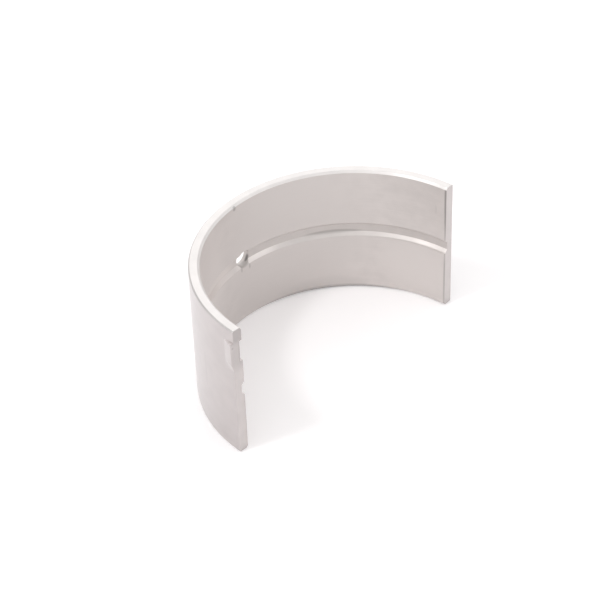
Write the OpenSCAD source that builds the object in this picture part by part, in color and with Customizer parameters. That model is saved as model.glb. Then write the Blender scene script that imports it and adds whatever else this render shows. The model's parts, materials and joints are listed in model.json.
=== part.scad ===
// Half shell of a plain main bearing: a thin steel half ring with a central oil groove,
// an oil hole at its crown, chamfered ends and a pressed locating tang.
// The bearing axis is Z, the crown faces +Y, and the tang is at the -X end, near the top.
// The shell is drawn loose, as it stands before it is pressed into its housing.

/* [Shell] */
// Diameter of the housing bore that the shell is pressed into
housing_d = 70; // [50:0.5:110]
// Thickness of the wall
wall = 2.5; // [2:0.1:4]
// Width of the shell along the bearing axis
width = 33.5; // [26:0.5:60]
// How much wider than its housing the loose shell stands across its parting faces
free_spread = 1.7; // [0.2:0.1:3]

/* [Edges] */
// Chamfer round the bore at both ends
bore_chamfer = 0.5; // [0.2:0.05:1]
// Chamfer round the back at both ends
back_chamfer = 0.3; // [0.1:0.05:0.8]
// Chamfer along the bore edge of both parting faces
face_chamfer = 0.1; // [0.05:0.05:0.6]

/* [Oil groove] */
// Width of the groove at the bore surface
groove_w = 3.6; // [3:0.1:8]
// Width of the groove's flat floor
groove_floor_w = 2; // [0.5:0.1:3.4]
// Depth of the groove below the bore surface
groove_depth = 0.8; // [0.5:0.05:1.4]

/* [Oil hole] */
// Diameter of the hole through the groove's floor
hole_d = 4.2; // [2:0.1:8]
// Chamfer round the hole's mouth at the bore surface
hole_chamfer = 0.25; // [0.1:0.05:0.6]
// Angle of the hole from the crown, towards the tang
hole_angle = 1; // [-40:0.5:40]

/* [Locating tang] */
// Width of the tang along the bearing axis
tang_w = 5.3; // [3:0.1:8]
// Distance of the tang from the shell's upper end
tang_inset = 3.5; // [1.5:0.1:7]
// Length of the tang round the back, from the parting face to its root
tang_length = 3; // [2.5:0.1:8]
// How far the tang stands out of the back at the parting face
tang_proud = 0.8; // [0.4:0.05:1.4]
// Depth of the hollow that pressing out the tang leaves in the bore
tang_hollow_depth = 0.75; // [0.3:0.05:1.2]
// Length of the slope that runs the tang's lower side out into the back
tang_slope = 2.2; // [0.5:0.1:5]

/* [Hidden] */
$fn = 240;
// Overshoot of a cutting shape past the surface that it opens
cut = 1;
// Length of strip, round the back, that is trimmed off each end to leave the parting face
trim = 2;

// The loose shell keeps its length round the back, so the spread turns both ends up by this angle
spread_angle = 90 * free_spread / housing_d;
arc_angle = 180 - 2 * spread_angle;
outer_r = housing_d / 2 * 180 / arc_angle;
inner_r = outer_r - wall;
middle_r = outer_r - wall / 2;
trim_angle = 180 / PI * trim / outer_r;
tang_root_angle = 180 / PI * tang_length / outer_r;
tang_top = width / 2 - tang_inset;
tang_foot = tang_top - tang_w;

// Section through the wall, with the bore and its groove on the left
module wall_section() {
    end = width / 2;
    polygon([
        [inner_r, groove_w / 2],
        [inner_r, end - bore_chamfer],
        [inner_r + bore_chamfer, end],
        [outer_r - back_chamfer, end],
        [outer_r, end - back_chamfer],
        [outer_r, -end + back_chamfer],
        [outer_r - back_chamfer, -end],
        [inner_r + bore_chamfer, -end],
        [inner_r, -end + bore_chamfer],
        [inner_r, -groove_w / 2],
        [inner_r + groove_depth, -groove_floor_w / 2],
        [inner_r + groove_depth, groove_floor_w / 2],
    ]);
}

// Strip rolled to the loose radius, a little longer than the shell at both ends
module rolled_strip() {
    rotate([0, 0, spread_angle - trim_angle])
        rotate_extrude(angle = arc_angle + 2 * trim_angle) wall_section();
}

// Puts a shape drawn at the X axis, with the shell above Y = 0, at the +X end of the shell
module at_plain_end() {
    rotate([0, 0, spread_angle]) children();
}

// The same for the -X end, which carries the tang
module at_tang_end() {
    mirror([1, 0, 0]) at_plain_end() children();
}

// Waste beyond a parting face, and the broken edge between that face and the bore
module end_trim() {
    linear_extrude(width + 2 * cut, center = true) {
        translate([inner_r - cut, -trim - 2 * cut])
            square([wall + tang_proud + 3 * cut, trim + 2 * cut]);
        polygon([
            [inner_r - cut, -cut],
            [inner_r + face_chamfer + cut, -cut],
            [inner_r - cut, face_chamfer + cut],
        ]);
    }
}

// Drilled radially outwards through the groove's floor, with a countersunk mouth in the bore
module oil_hole() {
    hole_r = hole_d / 2;
    rotate([0, 90, 90 + hole_angle]) rotate_extrude() polygon([
        [0, inner_r - cut],
        [hole_r + hole_chamfer + cut, inner_r - cut],
        [hole_r, inner_r + hole_chamfer],
        [hole_r, outer_r + cut],
        [0, outer_r + cut],
    ]);
}

// Round surface of a radius, swung out about the tang's root until it stands out by lift at the parting face
module swung_out(radius, lift) {
    root = radius * [cos(tang_root_angle), sin(tang_root_angle)];
    translate(root) rotate([0, 0, atan(lift / tang_length)]) translate(-root)
        cylinder(h = width, r = radius, center = true);
}

// Slab from a radius outwards, over the length of the tang, with this outline in radius and height
module tang_slab(outline) {
    root_y = outer_r * sin(tang_root_angle);
    translate([0, root_y + cut, 0]) rotate([90, 0, 0])
        linear_extrude(root_y + trim + 2 * cut) polygon(outline);
}

// Metal pressed out of the back, sheared square on its upper side and sloped on its lower side
module tang() {
    slope_share = (tang_proud + wall / 2) / tang_proud;
    slope_end = tang_foot - tang_slope * slope_share;
    tip = outer_r + tang_proud;
    intersection() {
        swung_out(outer_r, tang_proud);
        tang_slab([
            [middle_r, tang_top],
            [tip + cut, tang_top],
            [tip + cut, tang_foot],
            [tip, tang_foot],
            [middle_r, slope_end],
        ]);
    }
}

// Hollow that the pressed tang leaves in the bore
module tang_hollow() {
    intersection() {
        swung_out(inner_r, tang_hollow_depth);
        tang_slab([
            [inner_r / 2, tang_top],
            [outer_r, tang_top],
            [outer_r, tang_foot],
            [inner_r / 2, tang_foot],
        ]);
    }
}

module bearing_shell() {
    color("silver") difference() {
        union() {
            rolled_strip();
            at_tang_end() tang();
        }
        at_tang_end() tang_hollow();
        at_tang_end() end_trim();
        at_plain_end() end_trim();
        oil_hole();
    }
}

bearing_shell();
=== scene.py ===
"""Looks of a half shell of a plain main bearing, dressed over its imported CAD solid."""
import json
import math

import bmesh
import bpy
from mathutils import Matrix, Vector


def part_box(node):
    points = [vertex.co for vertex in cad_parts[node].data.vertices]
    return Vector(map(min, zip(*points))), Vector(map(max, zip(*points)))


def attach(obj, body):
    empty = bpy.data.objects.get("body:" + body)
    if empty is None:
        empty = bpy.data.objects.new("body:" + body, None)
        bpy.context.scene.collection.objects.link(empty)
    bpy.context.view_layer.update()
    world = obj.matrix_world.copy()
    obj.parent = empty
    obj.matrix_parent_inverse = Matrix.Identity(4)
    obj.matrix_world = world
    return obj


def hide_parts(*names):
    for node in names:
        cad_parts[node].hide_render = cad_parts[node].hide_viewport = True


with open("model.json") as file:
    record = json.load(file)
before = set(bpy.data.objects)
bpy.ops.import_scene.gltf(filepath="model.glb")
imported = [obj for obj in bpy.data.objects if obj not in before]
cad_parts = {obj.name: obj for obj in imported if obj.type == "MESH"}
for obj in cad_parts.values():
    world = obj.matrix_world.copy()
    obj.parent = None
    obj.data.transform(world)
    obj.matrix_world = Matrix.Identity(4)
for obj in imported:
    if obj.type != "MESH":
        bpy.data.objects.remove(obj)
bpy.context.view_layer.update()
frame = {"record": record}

# Units, in metres
MM = 0.001
MICRON = 1e-6

# Sizes taken from the frame, in metres and radians
NODE = "bearing_shell"
MOUNTS = {mount["name"]: mount for mount in frame["record"]["mounts"]}
NODE_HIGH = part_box(NODE)[1]
INNER_R = MOUNTS["journal_bore"]["dims"]["r_mm"] * MM
OUTER_R = NODE_HIGH.y
MIDDLE_R = (INNER_R + OUTER_R) / 2
HALF_WIDTH = NODE_HIGH.z
SPREAD = math.asin(MOUNTS["plain_parting_face"]["axis"][0])
ARC_LENGTH = (math.pi - 2 * SPREAD) * OUTER_R

# Sizes of the solid's details, as the part's source has them
BORE_CHAMFER = 0.5 * MM
BACK_CHAMFER = 0.3 * MM
FACE_CHAMFER = 0.1 * MM
GROOVE_W = 3.6 * MM
GROOVE_FLOOR_W = 2.0 * MM
GROOVE_DEPTH = 0.8 * MM
HOLE_R = 2.1 * MM
HOLE_CHAMFER = 0.25 * MM
HOLE_ANGLE = math.radians(1)
TANG_W = 5.3 * MM
TANG_INSET = 3.5 * MM
TANG_LENGTH = 3.0 * MM
TANG_PROUD = 0.8 * MM
TANG_HOLLOW = 0.75 * MM
TANG_SLOPE = 2.2 * MM
TANG_TOP = HALF_WIDTH - TANG_INSET
TANG_FOOT = TANG_TOP - TANG_W

# How far above the middle of the width the photograph shows the groove and its hole
GROOVE_RISE = 0.3 * MM

# Rounding, breaking and tearing that tools and handling leave on the edges
EDGE_ROUND = 0.1 * MM
LIP_ROUND = 0.4 * MM
LOWER_LIP_ROUND = 0.7 * MM
ROOT_ROUND = 0.12 * MM
FACE_ROUND = 0.06 * MM
HOLE_BACK_BREAK = 0.15 * MM
SHEAR = 0.1 * MM

# Rounded mouth of the hole, in shares of its chamfer: depths of its start and end, and its width
FLARE_START = 0.4
FLARE_END = 1.6
FLARE_WIDTH = 0.6

# Spacing of the mesh, and how far its fine part reaches round the hole
ROUND_STEPS = 6
FACE_ROUND_STEPS = 3
ARC_STEP = 0.9 * MM
FINE_STEP = 0.3 * MM
LAND_STEP = 1.2 * MM
SUPPORT = 0.04 * MM
HOLE_MARGIN = 3.2 * MM
HOLE_REACH = HOLE_R + HOLE_CHAMFER + 1.0 * MM

# Sides of the tool that cuts the hole, and how far it runs past the surfaces
HOLE_SEGMENTS = 72
CUT = 1.0 * MM

# Edges that turn by more than this are shaded sharp
SHARP_ANGLE = math.radians(32)

# Surfaces of the shell, in the order of its material slots
SURFACES = [
    "bore", "end", "back", "groove", "lower_side", "upper_side",
    "edge", "plain_face", "tang_face", "hole", "shear",
]

# Colours of the metals
LINING_METAL = (0.675, 0.632, 0.612)
# The groove's floor is a darker copy of the lining, as painted shade, and its sides a lighter copy, as
# painted light
GROOVE_SHADED_METAL = (0.60, 0.56, 0.54)
SIDE_LIT_METAL = (0.70, 0.655, 0.635)
BACK_METAL = (0.54, 0.50, 0.493)
END_METAL = (0.685, 0.658, 0.645)
# The bore's upper chamfer is lighter than the lining: a painted highlight
EDGE_METAL = (0.80, 0.765, 0.75)
CUT_METAL = (0.60, 0.563, 0.553)
# The torn metal is lightened to make up for the shade in its sheared corner: painted light
TORN_METAL = (0.74, 0.69, 0.68)
HOLE_METAL = (0.62, 0.58, 0.56)

# Share of metal in the surfaces that also scatter light, and the sheen over the back
LINING_METALLIC = 0.45
DULL_METALLIC = 0.3
SIDE_METALLIC = 0.9
BACK_COAT = 1.0
COAT_ROUGHNESS = 0.3

# Tool lines and blotches: how fine they are along the arc, the height and the radius
ROUND_LINES = (0.03, 5.0, 1.0)
RADIAL_LINES = (0.2, 1.0, 7.0)
CROSS_LINES = (1.0, 0.12, 6.0)
DRILL_LINES = (1.0, 1.0, 6.0)
TORN_LINES = (3.0, 3.0, 3.0)
BLOTCHES = (0.25, 0.35, 0.3)
LINE_DETAIL = 2.0
BLOTCH_DETAIL = 4.0

# Share that the blotches have in the tone beside the lines, and how far tone and roughness vary
BLOTCH_SHARE = 0.6
TONE_RANGE = (0.3, 0.7)
TONE_SPREAD = 0.04
LINE_RANGE = (0.2, 0.8)
ROUGHNESS_SPREAD = 0.05

# Share of a mark that has its full tone, in the square of its size
MARK_CORE = 0.1

# Marks, many of them painted light and shade: place along the arc from the crown and height, half sizes,
# all in millimetres, and tone
BORE_MARKS = [
    # Broad painted light and shade: darker by the crown and near the foot, lighter towards the tang end and
    # low towards the plain end
    ((12.0, 2.0), (26.0, 30.0), 0.96),
    ((-22.0, 4.0), (16.0, 26.0), 1.09),
    ((22.0, -15.5), (14.0, 3.0), 0.92),
    ((46.0, -8.0), (12.0, 9.0), 1.05),
    # Painted contact shadow along the foot
    ((22.0, -16.4), (22.0, 0.9), 0.75),
    # Painted shade as dark ticks below the oil hole, then a scratch and a nick under the rim
    ((1.0, -2.4), (0.3, 0.9), 0.72),
    ((-1.85, -2.2), (0.35, 0.8), 0.72),
    ((52.0, 9.8), (0.35, 1.6), 0.93),
    ((-3.3, 15.95), (0.65, 0.8), 0.66),
    # Dark line along the parting faces
    ((55.1, 14.0), (0.8, 16.0), 0.5),
    ((55.1, -10.0), (0.7, 16.0), 0.7),
    ((-55.1, 0.0), (0.7, 22.0), 0.65),
]
LOWER_SIDE_PAINTED_LIGHT_AND_SHADE = [
    # Painted highlights on both sides of the oil hole and at the plain end
    ((-14.0, -1.4), (12.0, 4.0), 1.18),
    ((3.0, -1.4), (8.0, 4.0), 1.2),
    ((51.0, -1.4), (6.0, 4.0), 1.16),
    # Painted shade along the root
    ((25.0, -0.65), (9.0, 0.45), 0.84),
]
UPPER_SIDE_PAINTED_LIGHT = [
    # Painted light on the tang's side of the oil hole
    ((-16.0, 1.4), (15.0, 4.0), 1.15),
]
GROOVE_PAINTED_LIGHT_AND_SHADE = [
    # Painted light on the tang's side of the oil hole
    ((-16.0, 0.0), (15.0, 4.0), 1.25),
    # Painted shade along the lower root
    ((25.0, -0.5), (9.0, 0.6), 0.76),
]
EDGE_MARKS = [
    # Upper end of the nick
    ((-3.3, 16.3), (0.6, 0.3), 0.7),
]
END_PAINTED_SHADOW = [
    # Painted contact shadow along the chamfer of the foot
    ((24.0, -16.3), (24.0, 0.42), 0.12),
]
BACK_MARKS = [
    # Faint streak, and a painted highlight on the tang
    ((-43.0, -1.0), (0.7, 6.0), 0.95),
    ((-53.6, 10.0), (2.0, 4.0), 1.06),
]
TORN_MARKS = [
    # Dark spot at the corner of the tang
    ((-54.9, 13.3), (0.4, 0.4), 0.85),
]

# Marks of the same kind, with the radius in place of the arc
TANG_FACE_MARKS = [
    # Darker upper end and tang
    ((34.6, 15.5), (4.0, 4.0), 0.76),
    ((34.6, 9.5), (4.0, 4.5), 0.87),
    # Dark line along the hollow, and a dark spot on the tang
    ((34.2, 10.3), (0.4, 3.6), 0.75),
    ((36.1, 12.4), (0.35, 0.4), 0.75),
]
HOLE_PAINTED_SHADE = [
    # Painted shade inside the mouth and low in the hole
    ((34.6, -0.7), (0.5, 1.2), 0.45),
    ((34.4, -1.75), (1.0, 0.4), 0.86),
]

# Camera, from where the photograph was taken
IMAGE_SIZE = 600
FOCAL_PX = 1940.0
ORIGIN_PX = (353.55, 317.54)
CAMERA_DISTANCE = 432.206 * MM
CAMERA_AZIMUTH = math.radians(-45.585)
CAMERA_ELEVATION = math.radians(37.649)
CAMERA_ROLL = math.radians(-2.122)
CAMERA_CLIP = (0.01, 20.0)
SENSOR = 36.0

# Floor and surroundings
FLOOR_SIZE = 6.0
FLOOR_COLOUR = (0.92, 0.90, 0.905)
FLOOR_GLOW = 0.17
HORIZON = 0.7
SKY = 0.85
SKY_FROM_HEIGHT = 0.6

# Lamps: name, direction in which it stands, distance and width in metres, and power in watts
LAMPS = [
    ("key_lamp", Vector((-0.5, 0.2, 0.843)), 1.0, 0.15, 1.9),
    ("back_lamp", Vector((0.56, 0.555, 0.61)), 1.2, 0.9, 1.8),
    ("fill_lamp", Vector((0.40, -0.645, 0.65)), 1.0, 0.42, 0.28),
    ("left_lamp", Vector((-0.58, -0.1, 0.81)), 1.0, 1.0, 0.55),
]


def lerp(a, b, share):
    """Value between a and b."""
    return a + (b - a) * share


def smooth_step(low, high, value):
    """Rises smoothly from 0 at low to 1 at high."""
    share = min(1.0, max(0.0, (value - low) / (high - low)))
    return share * share * (3 - 2 * share)


def corner_list():
    """Corners of the wall's section: radius, height, rounding and the surface that starts there.

    The list runs up the bore, over the upper end, down the back and home through the groove."""
    end = HALF_WIDTH
    floor_r = INNER_R + GROOVE_DEPTH
    return [
        (INNER_R, GROOVE_RISE + GROOVE_W / 2, LIP_ROUND, "bore"),
        (INNER_R, end - BORE_CHAMFER, EDGE_ROUND, "edge"),
        (INNER_R + BORE_CHAMFER, end, EDGE_ROUND, "end"),
        (OUTER_R - BACK_CHAMFER, end, EDGE_ROUND, "end"),
        (OUTER_R, end - BACK_CHAMFER, EDGE_ROUND, "back"),
        (OUTER_R, BACK_CHAMFER - end, EDGE_ROUND, "end"),
        (OUTER_R - BACK_CHAMFER, -end, EDGE_ROUND, "end"),
        (INNER_R + BORE_CHAMFER, -end, EDGE_ROUND, "end"),
        (INNER_R, BORE_CHAMFER - end, EDGE_ROUND, "bore"),
        (INNER_R, (GROOVE_RISE - GROOVE_W) / 2, LOWER_LIP_ROUND, "lower_side"),
        (floor_r, GROOVE_RISE - GROOVE_FLOOR_W / 2, ROOT_ROUND, "groove"),
        (floor_r, GROOVE_RISE + GROOVE_FLOOR_W / 2, ROOT_ROUND, "upper_side"),
    ]


def rounded_corner(before, corner, after, radius):
    """Points and outward normals along the arc that rounds a corner of a section that runs clockwise."""
    incoming = (corner - before).normalized()
    outgoing = (after - corner).normalized()
    turn = incoming.angle_signed(outgoing)
    start = corner - incoming * radius * math.tan(abs(turn) / 2)
    start_normal = Vector((-incoming.y, incoming.x))
    side = 1 if turn > 0 else -1
    centre = start - start_normal * radius * side
    points = []
    for step in range(ROUND_STEPS + 1):
        normal = start_normal.copy()
        normal.rotate(Matrix.Rotation(-turn * step / ROUND_STEPS, 2))
        points.append((centre + normal * radius * side, normal))
    return points


def even_steps(low, high, step):
    """Values from low to high, about a step apart."""
    count = round((high - low) / step)
    return [lerp(low, high, i / count) for i in range(count + 1)]


def height_stations(surface):
    """Heights at which a long face of the section gets extra points for the tang and the oil hole."""
    if surface not in ("bore", "back"):
        return []
    stations = []
    for level in (TANG_TOP, TANG_TOP + SHEAR, TANG_FOOT, TANG_FOOT - SHEAR):
        stations += [level - SUPPORT, level, level + SUPPORT]
    stations += even_steps(TANG_FOOT - TANG_SLOPE, TANG_TOP, FINE_STEP)
    stations += even_steps(-HOLE_REACH, HOLE_REACH, FINE_STEP)
    stations += even_steps(-HALF_WIDTH, HALF_WIDTH, LAND_STEP)
    return stations


def straight_points(start, end, surface):
    """Points along a straight face of the section, with support points close to both ends."""
    length = (end - start).length
    shares = {SUPPORT / length, 1 - SUPPORT / length}
    if abs(end.y - start.y) > LAND_STEP:
        shares |= {(z - start.y) / (end.y - start.y) for z in height_stations(surface)}
    else:
        shares |= {0.5}
    kept = []
    for share in sorted(s for s in shares if SUPPORT / 2 < s * length < length - SUPPORT / 2):
        if not kept or (share - kept[-1]) * length > SUPPORT / 2:
            kept.append(share)
    return [start.lerp(end, share) for share in kept]


def section():
    """The wall's section as a closed list of (radius, height, normal, surface of the face that follows)."""
    corners = corner_list()
    places = [Vector((r, z)) for r, z, _, _ in corners]
    count = len(corners)
    arcs = [rounded_corner(places[i - 1], places[i], places[(i + 1) % count], corners[i][2])
            for i in range(count)]
    points = []
    for i, arc in enumerate(arcs):
        before, after = corners[i - 1][3], corners[i][3]
        for step, (place, normal) in enumerate(arc):
            points.append((place.x, place.y, normal, before if step < ROUND_STEPS / 2 else after))
        start, start_normal = arc[-1]
        end = arcs[(i + 1) % count][0][0]
        points += [(p.x, p.y, start_normal, after) for p in straight_points(start, end, after)]
    return points


def tang_lift(radius, height, distance):
    """How far the pressed tang moves a point of the wall outwards, at a distance from the parting face."""
    ramp = max(0.0, 1 - distance / TANG_LENGTH)
    top = 1 - smooth_step(TANG_TOP, TANG_TOP + SHEAR, height)
    if radius > MIDDLE_R:
        foot = min(1.0, max(0.0, (height - TANG_FOOT + TANG_SLOPE) / TANG_SLOPE))
        return TANG_PROUD * ramp * top * foot
    foot = smooth_step(TANG_FOOT - SHEAR, TANG_FOOT, height)
    return TANG_HOLLOW * ramp * top * foot


def arc_stations():
    """Distances from the plain parting face, along the back, with the inset of the section at each."""
    head = []
    for i in range(FACE_ROUND_STEPS + 1):
        turn = math.pi / 2 * (1 - i / FACE_ROUND_STEPS)
        head.append((FACE_ROUND * (1 - math.sin(turn)), FACE_ROUND * (1 - math.cos(turn))))
    tail = [(ARC_LENGTH - distance, inset) for distance, inset in reversed(head)]
    stops = {FACE_CHAMFER, ARC_LENGTH - FACE_CHAMFER, ARC_LENGTH - TANG_LENGTH}
    stops |= {i * ARC_STEP for i in range(1, int(ARC_LENGTH / ARC_STEP))}
    stops |= set(even_steps(ARC_LENGTH - TANG_LENGTH, ARC_LENGTH, FINE_STEP))
    hole = ARC_LENGTH / 2 + HOLE_ANGLE * OUTER_R
    stops |= set(even_steps(hole - HOLE_MARGIN, hole, FINE_STEP))
    stops |= set(even_steps(hole, hole + HOLE_MARGIN, FINE_STEP))
    inner = []
    for stop in sorted(stops):
        clear = FACE_ROUND + SUPPORT < stop < ARC_LENGTH - FACE_ROUND - SUPPORT
        if clear and (not inner or stop - inner[-1] > 2 * SUPPORT):
            inner.append(stop)
    return head + [(stop, 0.0) for stop in inner] + tail


def ring_point(point, distance, inset):
    """A point of the section placed at a distance along the back, with the tang and the face chamfer."""
    radius, height, normal, _ = point
    radius += tang_lift(radius, height, ARC_LENGTH - distance)
    if radius < MIDDLE_R:
        to_face = min(distance, ARC_LENGTH - distance)
        radius = max(radius, INNER_R + FACE_CHAMFER - to_face)
    radius -= normal.x * inset
    height -= normal.y * inset
    angle = SPREAD + distance / OUTER_R
    return Vector((radius * math.cos(angle), radius * math.sin(angle), height))


def torn_or(surface, first, second):
    """The surface's name, or the torn metal's where the press has sheared the side of the tang."""
    distance = ARC_LENGTH - (math.atan2(first.y, first.x) - SPREAD) * OUTER_R
    middle = (first.z + second.z) / 2
    top = TANG_TOP < middle < TANG_TOP + SHEAR
    foot = TANG_FOOT - SHEAR < middle < TANG_FOOT and surface == "bore"
    if surface in ("bore", "back") and distance < TANG_LENGTH and (top or foot):
        return "shear"
    return surface


def finished_mesh(name, bm):
    """A mesh of the built faces, all turned outwards."""
    bmesh.ops.recalc_face_normals(bm, faces=bm.faces)
    mesh = bpy.data.meshes.new(name)
    bm.to_mesh(mesh)
    bm.free()
    return mesh


def wall_mesh():
    """The shell without its oil hole: the section swept round the arc and closed at the parting faces."""
    points = section()
    count = len(points)
    bm = bmesh.new()
    rings = [[bm.verts.new(ring_point(point, *station)) for point in points] for station in arc_stations()]
    for first, second in zip(rings, rings[1:]):
        for i in range(count):
            j = (i + 1) % count
            face = bm.faces.new((first[i], first[j], second[j], second[i]))
            face.material_index = SURFACES.index(torn_or(points[i][3], first[i].co, second[j].co))
    for ring, name in ((rings[0], "plain_face"), (rings[-1], "tang_face")):
        bm.faces.new(ring).material_index = SURFACES.index(name)
    return finished_mesh("shell_wall", bm)


def hole_profile():
    """Distances from the bearing axis and radii of the hole: flared, straight, then broken at the back."""
    profile = [(INNER_R - CUT, HOLE_R + HOLE_CHAMFER + CUT)]
    for step in range(ROUND_STEPS + 1):
        share = step / ROUND_STEPS
        depth = HOLE_CHAMFER * lerp(FLARE_START, FLARE_END, share)
        profile.append((INNER_R + depth, HOLE_R + HOLE_CHAMFER * FLARE_WIDTH * (1 - share) ** 2))
    profile.append((OUTER_R - HOLE_BACK_BREAK, HOLE_R))
    profile.append((OUTER_R + CUT, HOLE_R + HOLE_BACK_BREAK + CUT))
    return profile


def hole_cutter():
    """Solid of the oil hole, turned from its profile and set into the groove."""
    bm = bmesh.new()
    rings = []
    for along, radius in hole_profile():
        ring = []
        for i in range(HOLE_SEGMENTS):
            turn = 2 * math.pi * i / HOLE_SEGMENTS
            ring.append(bm.verts.new((along, radius * math.cos(turn), radius * math.sin(turn))))
        rings.append(ring)
    for first, second in zip(rings, rings[1:]):
        for i in range(HOLE_SEGMENTS):
            j = (i + 1) % HOLE_SEGMENTS
            bm.faces.new((first[i], first[j], second[j], second[i]))
    bm.faces.new(rings[0][::-1])
    bm.faces.new(rings[-1])
    for face in bm.faces:
        face.material_index = SURFACES.index("hole")
    bm.transform(Matrix.Rotation(math.pi / 2 + HOLE_ANGLE, 4, "Z"))
    bm.transform(Matrix.Translation((0, 0, GROOVE_RISE)))
    return finished_mesh("oil_hole", bm)


def link(name, data):
    """A new object with that mesh, lamp or camera in the scene."""
    made = bpy.data.objects.new(name, data)
    bpy.context.scene.collection.objects.link(made)
    return made


def build_shell(materials):
    """The dressed shell, with its hole cut through, standing for the CAD node."""
    shell = link("shell", wall_mesh())
    cutter = link("oil_hole_cutter", hole_cutter())
    for material in materials:
        shell.data.materials.append(material)
        cutter.data.materials.append(material)
    drill = shell.modifiers.new("oil_hole", "BOOLEAN")
    drill.operation = "DIFFERENCE"
    drill.solver = "EXACT"
    drill.material_mode = "INDEX"
    drill.object = cutter
    drilled = bpy.data.meshes.new_from_object(shell.evaluated_get(bpy.context.evaluated_depsgraph_get()))
    shell.modifiers.clear()
    shell.data = drilled
    bpy.data.objects.remove(cutter)
    drilled.shade_smooth()
    drilled.set_sharp_from_angle(angle=SHARP_ANGLE)
    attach(shell, "root")
    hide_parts(NODE)


class Nodes:
    """Short ways to add nodes to one material."""

    def __init__(self, name):
        self.material = bpy.data.materials.new(name)
        self.material.use_nodes = True
        self.tree = self.material.node_tree
        self.shader = self.tree.nodes["Principled BSDF"]

    def feed(self, socket, value):
        """Links a socket to another socket, or sets its value."""
        if isinstance(value, bpy.types.NodeSocket):
            self.tree.links.new(value, socket)
        else:
            socket.default_value = value

    def math(self, operation, first, second=0.0):
        """Result of a sum, product or other operation."""
        node = self.tree.nodes.new("ShaderNodeMath")
        node.operation = operation
        self.feed(node.inputs[0], first)
        self.feed(node.inputs[1], second)
        return node.outputs[0]

    def squares(self, first, second):
        """Sum of two squares."""
        return self.math("ADD", self.math("MULTIPLY", first, first), self.math("MULTIPLY", second, second))

    def ramp(self, value, low, high, to_low=0.0, to_high=1.0):
        """Smooth change of a value from to_low at low to to_high at high."""
        node = self.tree.nodes.new("ShaderNodeMapRange")
        node.interpolation_type = "SMOOTHSTEP"
        self.feed(node.inputs["Value"], value)
        node.inputs["From Min"].default_value = low
        node.inputs["From Max"].default_value = high
        node.inputs["To Min"].default_value = to_low
        node.inputs["To Max"].default_value = to_high
        return node.outputs["Result"]

    def shell_space(self):
        """Place on the shell in millimetres: along the arc from the crown, height and radius."""
        place = self.tree.nodes.new("ShaderNodeTexCoord")
        parts = self.tree.nodes.new("ShaderNodeSeparateXYZ")
        self.feed(parts.inputs[0], place.outputs["Object"])
        x, y, z = parts.outputs
        around = self.math("MULTIPLY", self.math("ARCTAN2", x, y), OUTER_R / MM)
        height = self.math("DIVIDE", z, MM)
        radius = self.math("DIVIDE", self.math("SQRT", self.squares(x, y)), MM)
        return around, height, radius

    def noise(self, place, stretch, detail):
        """Soft noise over a place, with each coordinate stretched by its own factor."""
        vector = self.tree.nodes.new("ShaderNodeCombineXYZ")
        for socket, value, factor in zip(vector.inputs, place, stretch):
            self.feed(socket, self.math("MULTIPLY", value, factor))
        node = self.tree.nodes.new("ShaderNodeTexNoise")
        self.feed(node.inputs["Vector"], vector.outputs[0])
        node.inputs["Scale"].default_value = 1.0
        node.inputs["Detail"].default_value = detail
        return node.outputs["Fac"]

    def mix(self, factor, first, second):
        """Colour between two colours."""
        node = self.tree.nodes.new("ShaderNodeMix")
        node.data_type = "RGBA"
        self.feed(node.inputs["Factor"], factor)
        for name, value in (("A", first), ("B", second)):
            socket = [s for s in node.inputs if s.name == name and s.type == "RGBA"][0]
            self.feed(socket, value if isinstance(value, bpy.types.NodeSocket) else (*value, 1))
        return [s for s in node.outputs if s.type == "RGBA"][0]

    def spot(self, across, height, place, size):
        """Soft oval mark of 1 at a place on a surface, falling to 0 at its edge."""
        from_middle = self.math("DIVIDE", self.math("SUBTRACT", across, place[0]), size[0])
        from_level = self.math("DIVIDE", self.math("SUBTRACT", height, place[1]), size[1])
        return self.ramp(self.squares(from_middle, from_level), MARK_CORE, 1.0, 1.0, 0.0)

    def bump(self, height, depth):
        """Fine relief of a height between 0 and 1, with its depth in metres."""
        node = self.tree.nodes.new("ShaderNodeBump")
        node.inputs["Distance"].default_value = depth
        self.feed(node.inputs["Height"], height)
        self.feed(self.shader.inputs["Normal"], node.outputs[0])


def shade(colour, factor):
    """A colour made lighter or darker."""
    return tuple(channel * factor for channel in colour)


def metal(name, colour, roughness, lines, relief, marks=(), metallic=1.0, coat=0.0, by_radius=False):
    """Satin metal: soft blotches, fine tool lines and marks of other tones.

    The marks' first coordinate runs along the arc, or along the radius on a surface across the wall."""
    nodes = Nodes(name)
    place = nodes.shell_space()
    around, height, radius = place
    blotches = nodes.noise(place, BLOTCHES, BLOTCH_DETAIL)
    streaks = nodes.noise(place, lines, LINE_DETAIL)
    blotch_part = nodes.math("MULTIPLY", blotches, BLOTCH_SHARE)
    streak_part = nodes.math("MULTIPLY", streaks, 1 - BLOTCH_SHARE)
    tone = nodes.ramp(nodes.math("ADD", blotch_part, streak_part), *TONE_RANGE)
    base = nodes.mix(tone, shade(colour, 1 - TONE_SPREAD), shade(colour, 1 + TONE_SPREAD))
    for middle, size, factor in marks:
        mark = nodes.spot(radius if by_radius else around, height, middle, size)
        base = nodes.mix(mark, base, shade(colour, factor))
    smoothest = roughness - ROUGHNESS_SPREAD
    roughest = roughness + ROUGHNESS_SPREAD
    shader = nodes.shader
    nodes.feed(shader.inputs["Base Color"], base)
    nodes.feed(shader.inputs["Roughness"], nodes.ramp(streaks, *LINE_RANGE, smoothest, roughest))
    shader.inputs["Metallic"].default_value = metallic
    shader.inputs["Coat Weight"].default_value = coat
    shader.inputs["Coat Roughness"].default_value = COAT_ROUGHNESS
    nodes.bump(streaks, relief)
    return nodes.material


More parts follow.
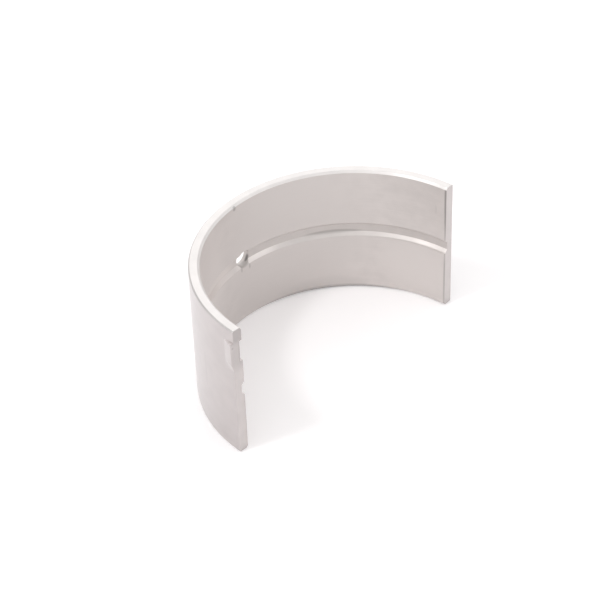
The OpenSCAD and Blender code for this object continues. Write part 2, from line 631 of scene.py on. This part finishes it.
def shell_metals():
    """Material of each surface, with lines along the way in which it was worked."""
    return {
        "bore": metal("lining_bore", LINING_METAL, roughness=0.45, lines=ROUND_LINES, relief=4 * MICRON,
                      marks=BORE_MARKS, metallic=LINING_METALLIC),
        "end": metal("turned_end", END_METAL, roughness=0.36, lines=RADIAL_LINES, relief=4 * MICRON,
                     marks=END_PAINTED_SHADOW),
        "back": metal("steel_back", BACK_METAL, roughness=0.4, lines=ROUND_LINES, relief=4 * MICRON,
                      marks=BACK_MARKS, coat=BACK_COAT),
        "groove": metal("milled_groove", GROOVE_SHADED_METAL, roughness=0.4, lines=ROUND_LINES, relief=3 * MICRON,
                        marks=GROOVE_PAINTED_LIGHT_AND_SHADE, metallic=LINING_METALLIC),
        "lower_side": metal("groove_lower_side", SIDE_LIT_METAL, roughness=0.4, lines=ROUND_LINES,
                            relief=0.8 * MICRON, marks=LOWER_SIDE_PAINTED_LIGHT_AND_SHADE, metallic=SIDE_METALLIC),
        "upper_side": metal("groove_upper_side", SIDE_LIT_METAL, roughness=0.5, lines=ROUND_LINES,
                            relief=3 * MICRON, marks=UPPER_SIDE_PAINTED_LIGHT, metallic=DULL_METALLIC),
        "edge": metal("broken_edge", EDGE_METAL, roughness=0.4, lines=ROUND_LINES, relief=3 * MICRON,
                      marks=EDGE_MARKS, metallic=DULL_METALLIC),
        "plain_face": metal("broached_face", CUT_METAL, roughness=0.42, lines=CROSS_LINES,
                            relief=5 * MICRON),
        "tang_face": metal("broached_tang_face", CUT_METAL, roughness=0.42, lines=CROSS_LINES,
                           relief=5 * MICRON, marks=TANG_FACE_MARKS, by_radius=True),
        "hole": metal("drilled_hole", HOLE_METAL, roughness=0.45, lines=DRILL_LINES, relief=6 * MICRON,
                      marks=HOLE_PAINTED_SHADE, metallic=LINING_METALLIC, by_radius=True),
        "shear": metal("torn_side", TORN_METAL, roughness=0.55, lines=TORN_LINES, relief=20 * MICRON,
                       marks=TORN_MARKS, metallic=LINING_METALLIC),
    }


def add_camera():
    """Camera that sees the part's origin at ORIGIN_PX."""
    forward = Vector((
        -math.sin(CAMERA_AZIMUTH) * math.cos(CAMERA_ELEVATION),
        math.cos(CAMERA_AZIMUTH) * math.cos(CAMERA_ELEVATION),
        -math.sin(CAMERA_ELEVATION),
    ))
    level_right = forward.cross(Vector((0, 0, 1))).normalized()
    level_up = level_right.cross(forward)
    right = level_right * math.cos(CAMERA_ROLL) + level_up * math.sin(CAMERA_ROLL)
    up = level_up * math.cos(CAMERA_ROLL) - level_right * math.sin(CAMERA_ROLL)
    per_px = CAMERA_DISTANCE / FOCAL_PX
    aside = (ORIGIN_PX[0] - IMAGE_SIZE / 2) * per_px
    above = (IMAGE_SIZE / 2 - ORIGIN_PX[1]) * per_px
    data = bpy.data.cameras.new("camera")
    data.sensor_width = SENSOR
    data.lens = FOCAL_PX / IMAGE_SIZE * SENSOR
    data.clip_start, data.clip_end = CAMERA_CLIP
    camera = link("camera", data)
    camera.matrix_world = Matrix((right, up, -forward)).transposed().to_4x4()
    camera.location = -(right * aside + up * above + forward * CAMERA_DISTANCE)
    bpy.context.scene.camera = camera


def seen_rays(nodes, links):
    """Socket that is 1 for camera, glossy and transmission rays."""
    path = nodes.new("ShaderNodeLightPath")
    total = path.outputs["Is Camera Ray"]
    for name in ("Is Glossy Ray", "Is Transmission Ray"):
        larger = nodes.new("ShaderNodeMath")
        larger.operation = "MAXIMUM"
        links.new(total, larger.inputs[0])
        links.new(path.outputs[name], larger.inputs[1])
        total = larger.outputs[0]
    return total


def floor_material():
    """Matt white that glows enough to be seen white."""
    material = bpy.data.materials.new("floor_white")
    material.use_nodes = True
    nodes, links = material.node_tree.nodes, material.node_tree.links
    nodes.clear()
    diffuse = nodes.new("ShaderNodeBsdfDiffuse")
    diffuse.inputs["Color"].default_value = (*FLOOR_COLOUR, 1)
    glow = nodes.new("ShaderNodeEmission")
    strength = nodes.new("ShaderNodeMath")
    strength.operation = "MULTIPLY"
    strength.inputs[1].default_value = FLOOR_GLOW
    links.new(seen_rays(nodes, links), strength.inputs[0])
    links.new(strength.outputs[0], glow.inputs["Strength"])
    both = nodes.new("ShaderNodeAddShader")
    links.new(diffuse.outputs[0], both.inputs[0])
    links.new(glow.outputs[0], both.inputs[1])
    output = nodes.new("ShaderNodeOutputMaterial")
    links.new(both.outputs[0], output.inputs["Surface"])
    return material


def add_floor():
    """White table under the shell, which takes its shadow."""
    bm = bmesh.new()
    bmesh.ops.create_grid(bm, x_segments=1, y_segments=1, size=FLOOR_SIZE / 2)
    mesh = bpy.data.meshes.new("floor")
    bm.to_mesh(mesh)
    bm.free()
    mesh.materials.append(floor_material())
    floor = link("floor", mesh)
    floor.location.z = -HALF_WIDTH


def add_world():
    """Soft white surroundings, darker towards the horizon."""
    world = bpy.data.worlds.new("studio")
    bpy.context.scene.world = world
    world.use_nodes = True
    nodes, links = world.node_tree.nodes, world.node_tree.links
    place = nodes.new("ShaderNodeTexCoord")
    parts = nodes.new("ShaderNodeSeparateXYZ")
    links.new(place.outputs["Generated"], parts.inputs[0])
    sky = nodes.new("ShaderNodeMapRange")
    sky.interpolation_type = "SMOOTHSTEP"
    sky.inputs["From Max"].default_value = SKY_FROM_HEIGHT
    sky.inputs["To Min"].default_value = HORIZON
    sky.inputs["To Max"].default_value = SKY
    links.new(parts.outputs["Z"], sky.inputs["Value"])
    links.new(sky.outputs["Result"], nodes["Background"].inputs["Color"])


def add_lamp(name, direction, distance, size, power):
    """Square soft lamp that shines on the origin from a direction."""
    data = bpy.data.lights.new(name, "AREA")
    data.shape = "SQUARE"
    data.size = size
    data.energy = power
    lamp = link(name, data)
    lamp.location = direction.normalized() * distance
    lamp.rotation_euler = direction.to_track_quat("Z", "Y").to_euler()


metals = shell_metals()
build_shell([metals[surface] for surface in SURFACES])
add_camera()
add_floor()
add_world()
for lamp_values in LAMPS:
    add_lamp(*lamp_values)
bpy.context.scene.view_settings.view_transform = "Standard"
